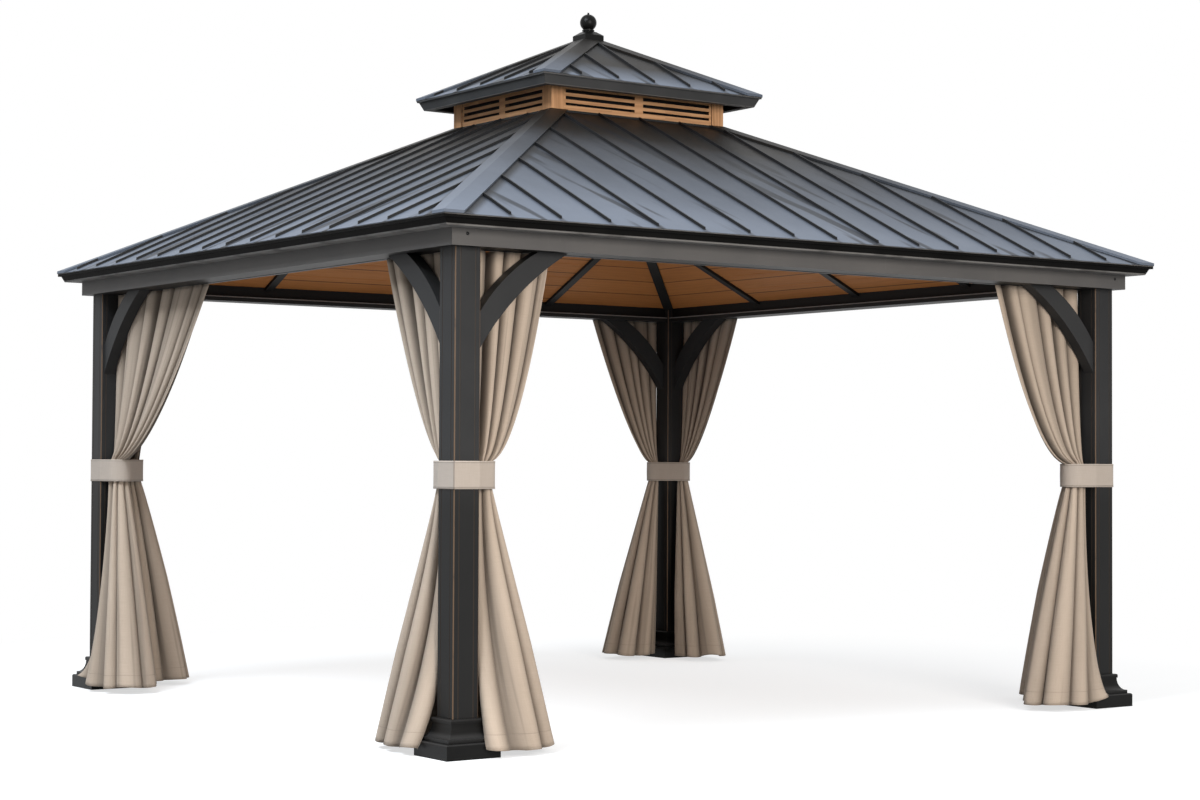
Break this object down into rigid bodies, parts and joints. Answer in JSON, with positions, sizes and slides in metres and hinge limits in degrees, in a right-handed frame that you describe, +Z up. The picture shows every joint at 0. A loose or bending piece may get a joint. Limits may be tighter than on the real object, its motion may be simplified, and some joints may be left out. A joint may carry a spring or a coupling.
{
  "type": "metal gazebo",
  "caption": "Open garden gazebo with square posts, a hipped standing-seam roof in tiers, a louvred lantern, boarded ceiling and tied-back curtains.",
  "frame": {"origin": "on the ground in the middle of the four posts", "axes": "+Z up, front of the gazebo towards -Y, long side along X"},
  "size_m": [4.04, 3.84, 3.4337],
  "materials": {
    "charcoal_frame": "satin powder coat",
    "roof_sheet": "satin coated sheet",
    "dark_structure": "matt powder coat",
    "dark_skirt": "matt",
    "foot_plate": "satin powder coat",
    "ceiling_board": "oiled boards",
    "lantern_wood": "oiled",
    "curtain_cloth": "woven polyester"
  },
  "bodies": {
    "root": {"post_front_left": "charcoal_frame", "post_front_right": "charcoal_frame", "post_back_left": "charcoal_frame", "post_back_right": "charcoal_frame", "foot_plates": "foot_plate", "post_skirts": "dark_skirt", "beam_front": "charcoal_frame", "beam_right": "charcoal_frame", "beam_back": "charcoal_frame", "beam_left": "charcoal_frame", "knee_braces": "charcoal_frame", "curtain_rails": "dark_structure", "eave_trims": "charcoal_frame", "roof_front": "roof_sheet", "roof_right": "roof_sheet", "roof_back": "roof_sheet", "roof_left": "roof_sheet", "hip_caps": "roof_sheet", "hip_rafters": "dark_structure", "side_rafters": "dark_structure", "ceiling_front": "ceiling_board", "ceiling_right": "ceiling_board", "ceiling_back": "ceiling_board", "ceiling_left": "ceiling_board", "roof_ring": "dark_structure", "lantern_posts": "lantern_wood", "louvre_panels": "lantern_wood", "upper_frame": "dark_structure", "upper_eave_trims": "charcoal_frame", "upper_roof": "roof_sheet", "upper_hip_caps": "roof_sheet", "finial": "roof_sheet", "curtain_front_left": "curtain_cloth", "curtain_front_right": "curtain_cloth", "curtain_right_front": "curtain_cloth", "curtain_right_back": "curtain_cloth", "curtain_back_right": "curtain_cloth", "curtain_back_left": "curtain_cloth", "curtain_left_back": "curtain_cloth", "curtain_left_front": "curtain_cloth", "tie_front_left": "curtain_cloth", "tie_front_right": "curtain_cloth", "tie_back_left": "curtain_cloth", "tie_back_right": "curtain_cloth"}
  },
  "joints": []
}
